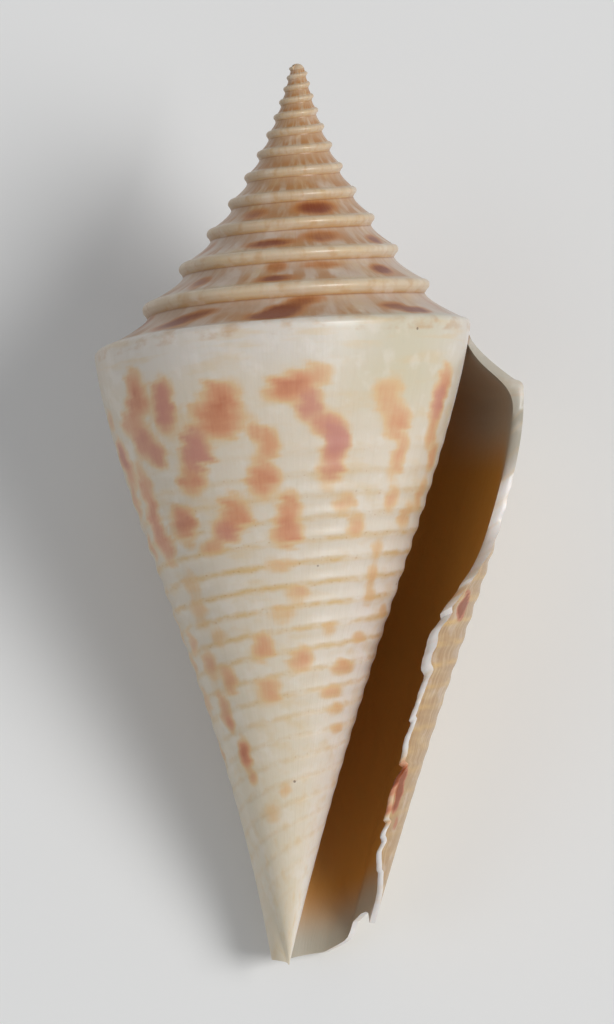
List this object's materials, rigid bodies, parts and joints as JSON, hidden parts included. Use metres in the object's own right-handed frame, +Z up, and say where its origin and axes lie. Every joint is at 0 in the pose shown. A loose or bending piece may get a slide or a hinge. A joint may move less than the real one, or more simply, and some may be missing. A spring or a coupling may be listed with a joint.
{
  "type": "cone shell",
  "caption": "Empty cone shell with a tall stepped spire, a conical last whorl with spiral cords and a long narrow aperture, lying on its back.",
  "frame": {"origin": "under the middle of the shell's box, on the surface that it lies on", "axes": "+Y along the shell towards the apex, +Z up with the aperture upwards, +X to the side that the lip is on"},
  "size_m": [0.0282, 0.0582, 0.0269],
  "materials": {
    "shell": "smooth, slightly glossy shell, cream white with orange-brown blotches and ochre lines in the grooves"
  },
  "bodies": {
    "root": {"shell": "shell"}
  },
  "joints": []
}
